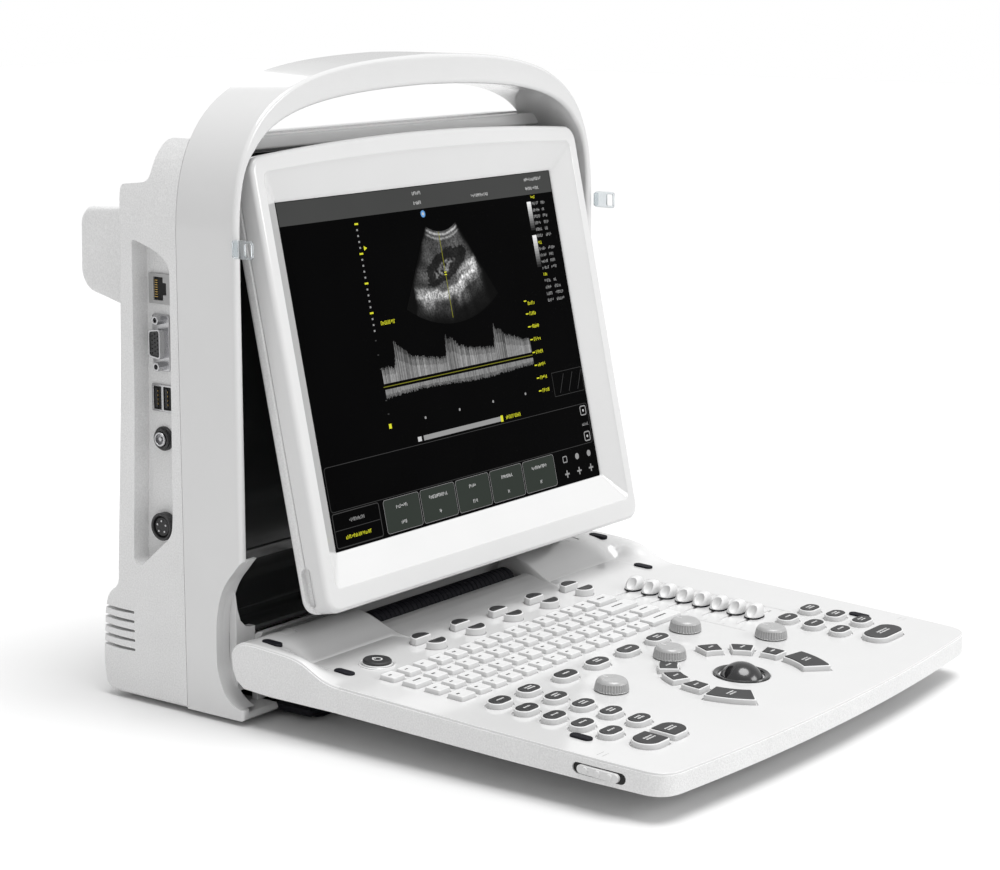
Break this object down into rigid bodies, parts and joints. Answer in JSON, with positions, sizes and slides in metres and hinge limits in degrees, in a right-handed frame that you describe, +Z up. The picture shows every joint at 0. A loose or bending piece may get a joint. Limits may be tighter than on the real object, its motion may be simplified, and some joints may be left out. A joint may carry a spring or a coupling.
{
  "type": "portable ultrasound scanner",
  "caption": "Portable ultrasound scanner: upright case with arched handle, tilting flat monitor and a fold-up control panel with keys, trackball, knobs and gain sliders",
  "frame": {"origin": "bottom centre of the whole object with the control panel open: middle of its width and depth, on the plane its feet stand on", "axes": "+X to the user's right, -Y towards the user, +Z up"},
  "size_m": [0.3272, 0.4008, 0.348],
  "materials": {
    "gloss_white": "smooth glossy white housing",
    "matt_grey": "fine textured light grey housing",
    "gloss_black": "polished black",
    "screen": "display surface",
    "cap_dark": "dark grey key caps",
    "knob_grey": "mid grey knobs",
    "key_white": "white keys",
    "rubber_black": "black rubber",
    "clear": "clear moulded loop",
    "steel": "plain steel",
    "board": "printed circuit board",
    "battery": "battery pack",
    "fan_black": "black fan"
  },
  "bodies": {
    "case": {"front_shell": "gloss_white", "rear_shell": "matt_grey", "cavity_panel": "gloss_black", "port_plate": "matt_grey", "network_socket": "steel", "video_socket": "steel", "usb_socket": "steel", "round_socket": "steel", "foot_switch_socket": "cap_dark", "rear_housing": "matt_grey", "front_foot": "rubber_black", "rear_foot": "rubber_black", "main_board": "board", "power_supply": "steel", "battery_pack": "battery", "fan_frame": "fan_black", "latch_ring_left": "clear", "latch_ring_right": "clear", "keyboard_hinge_rod": "steel", "monitor_pivot_rod": "steel"},
    "monitor": {"monitor_bezel": "gloss_white", "display_panel": "screen", "monitor_rear_cover": "matt_grey", "monitor_hinge_arm_left": "steel", "monitor_hinge_arm_right": "steel"},
    "panel": {"keyboard_top_cover": "gloss_white", "keyboard_bottom_cover": "matt_grey", "control_board": "board", "hinge_cable_duct": "rubber_black", "trackball_ring": "cap_dark"},
    "latch_left": {"latch_slider_left": "matt_grey"},
    "latch_right": {"latch_slider_right": "matt_grey"},
    "power_button": {"power_key": "cap_dark"},
    "alphanumeric": {"alphanumeric_keys": "key_white"},
    "soft_pad": {"soft_keys": "cap_dark"},
    "left_functions": {"left_function_keys": "cap_dark"},
    "right_functions": {"right_function_keys": "cap_dark"},
    "upper_functions": {"upper_function_keys": "cap_dark"},
    "freeze": {"freeze_key": "cap_dark"},
    "select": {"select_key": "cap_dark"},
    "enter": {"enter_key": "cap_dark"},
    "save": {"save_key": "cap_dark"},
    "print": {"print_key": "cap_dark"},
    "trackball_left": {"trackball_keys_left": "cap_dark"},
    "trackball_right": {"trackball_keys_right": "cap_dark"},
    "knob_1": {"rotary_knob_1": "knob_grey"},
    "knob_2": {"rotary_knob_2": "knob_grey"},
    "knob_3": {"rotary_knob_3": "knob_grey"},
    "knob_4": {"rotary_knob_4": "knob_grey"},
    "ball": {"trackball": "cap_dark"},
    "gain_1": {"gain_slider_1": "key_white"},
    "gain_2": {"gain_slider_2": "key_white"},
    "gain_3": {"gain_slider_3": "key_white"},
    "gain_4": {"gain_slider_4": "key_white"},
    "gain_5": {"gain_slider_5": "key_white"},
    "gain_6": {"gain_slider_6": "key_white"},
    "gain_7": {"gain_slider_7": "key_white"},
    "gain_8": {"gain_slider_8": "key_white"},
    "fan": {"fan_rotor": "fan_black"}
  },
  "joints": [
    {"name": "keyboard_fold", "type": "hinge", "parent": "case", "child": "panel", "pos_m": [0, 0.066, 0.035], "axis": [-1, 0, 0], "range_deg": [0, 92.5]},
    {"name": "monitor_tilt", "type": "hinge", "parent": "case", "child": "monitor", "pos_m": [0, 0.098, 0.29], "axis": [1, 0, 0], "range_deg": [0, 15]},
    {"name": "latch_left", "type": "slide", "parent": "panel", "child": "latch_left", "axis": [0, 0.9991, 0.0431], "range_m": [-0.0025, 0.0025]},
    {"name": "latch_right", "type": "slide", "parent": "panel", "child": "latch_right", "axis": [0, 0.9991, 0.0431], "range_m": [-0.0025, 0.0025]},
    {"name": "power_press", "type": "slide", "parent": "panel", "child": "power_button", "axis": [0, 0.0431, -0.9991], "range_m": [0, 0.0012], "stiffness_N_per_m": 1000, "springref_m": -0.00072},
    {"name": "alphanumeric_press", "type": "slide", "parent": "panel", "child": "alphanumeric", "axis": [0, 0.0431, -0.9991], "range_m": [0, 0.0012], "stiffness_N_per_m": 5000, "springref_m": -0.00072},
    {"name": "soft_press", "type": "slide", "parent": "panel", "child": "soft_pad", "axis": [0, 0.0431, -0.9991], "range_m": [0, 0.0012], "stiffness_N_per_m": 2500, "springref_m": -0.00072},
    {"name": "left_function_press", "type": "slide", "parent": "panel", "child": "left_functions", "axis": [0, 0.0431, -0.9991], "range_m": [0, 0.0012], "stiffness_N_per_m": 2500, "springref_m": -0.00072},
    {"name": "right_function_press", "type": "slide", "parent": "panel", "child": "right_functions", "axis": [0, 0.0431, -0.9991], "range_m": [0, 0.0012], "stiffness_N_per_m": 2500, "springref_m": -0.00072},
    {"name": "upper_function_press", "type": "slide", "parent": "panel", "child": "upper_functions", "axis": [0, 0.0431, -0.9991], "range_m": [0, 0.0012], "stiffness_N_per_m": 1666.7, "springref_m": -0.00072},
    {"name": "freeze_press", "type": "slide", "parent": "panel", "child": "freeze", "axis": [0, 0.0431, -0.9991], "range_m": [0, 0.0012], "stiffness_N_per_m": 1000, "springref_m": -0.00072},
    {"name": "select_press", "type": "slide", "parent": "panel", "child": "select", "axis": [0, 0.0431, -0.9991], "range_m": [0, 0.0012], "stiffness_N_per_m": 1000, "springref_m": -0.00072},
    {"name": "enter_press", "type": "slide", "parent": "panel", "child": "enter", "axis": [0, 0.0431, -0.9991], "range_m": [0, 0.0012], "stiffness_N_per_m": 1000, "springref_m": -0.00072},
    {"name": "save_press", "type": "slide", "parent": "panel", "child": "save", "axis": [0, 0.0431, -0.9991], "range_m": [0, 0.0012], "stiffness_N_per_m": 1000, "springref_m": -0.00072},
    {"name": "print_press", "type": "slide", "parent": "panel", "child": "print", "axis": [0, 0.0431, -0.9991], "range_m": [0, 0.0012], "stiffness_N_per_m": 1000, "springref_m": -0.00072},
    {"name": "trackball_left_press", "type": "slide", "parent": "panel", "child": "trackball_left", "axis": [0, 0.0431, -0.9991], "range_m": [0, 0.0012], "stiffness_N_per_m": 1666.7, "springref_m": -0.00072},
    {"name": "trackball_right_press", "type": "slide", "parent": "panel", "child": "trackball_right", "axis": [0, 0.0431, -0.9991], "range_m": [0, 0.0012], "stiffness_N_per_m": 1666.7, "springref_m": -0.00072},
    {"name": "knob_turn_1", "type": "hinge", "parent": "panel", "child": "knob_1", "pos_m": [-0.0695, -0.10243, 0.02974], "axis": [0, -0.0431, 0.9991], "continuous": true},
    {"name": "knob_turn_2", "type": "hinge", "parent": "panel", "child": "knob_2", "pos_m": [-0.002, -0.09444, 0.03008], "axis": [0, -0.0431, 0.9991], "continuous": true},
    {"name": "knob_turn_3", "type": "hinge", "parent": "panel", "child": "knob_3", "pos_m": [0.0465, -0.07346, 0.03099], "axis": [0, -0.0431, 0.9991], "continuous": true},
    {"name": "knob_turn_4", "type": "hinge", "parent": "panel", "child": "knob_4", "pos_m": [0.0685, -0.11592, 0.02915], "axis": [0, -0.0431, 0.9991], "continuous": true},
    {"name": "trackball_roll", "type": "hinge", "parent": "panel", "child": "ball", "pos_m": [0, -0.13814, 0.02219], "axis": [1, 0, 0], "continuous": true},
    {"name": "gain_slide_1", "type": "slide", "parent": "panel", "child": "gain_1", "axis": [1, 0, 0], "range_m": [-0.014, 0.014]},
    {"name": "gain_slide_2", "type": "slide", "parent": "panel", "child": "gain_2", "axis": [1, 0, 0], "range_m": [-0.014, 0.014]},
    {"name": "gain_slide_3", "type": "slide", "parent": "panel", "child": "gain_3", "axis": [1, 0, 0], "range_m": [-0.014, 0.014]},
    {"name": "gain_slide_4", "type": "slide", "parent": "panel", "child": "gain_4", "axis": [1, 0, 0], "range_m": [-0.014, 0.014]},
    {"name": "gain_slide_5", "type": "slide", "parent": "panel", "child": "gain_5", "axis": [1, 0, 0], "range_m": [-0.014, 0.014]},
    {"name": "gain_slide_6", "type": "slide", "parent": "panel", "child": "gain_6", "axis": [1, 0, 0], "range_m": [-0.014, 0.014]},
    {"name": "gain_slide_7", "type": "slide", "parent": "panel", "child": "gain_7", "axis": [1, 0, 0], "range_m": [-0.014, 0.014]},
    {"name": "gain_slide_8", "type": "slide", "parent": "panel", "child": "gain_8", "axis": [1, 0, 0], "range_m": [-0.014, 0.014]},
    {"name": "fan_spin", "type": "hinge", "parent": "case", "child": "fan", "pos_m": [-0.142, 0.145, 0.036], "axis": [1, 0, 0], "continuous": true}
  ],
  "couplings": [
    {"joint": "monitor_tilt", "follows": "keyboard_fold", "ratio": 0.16216}
  ]
}
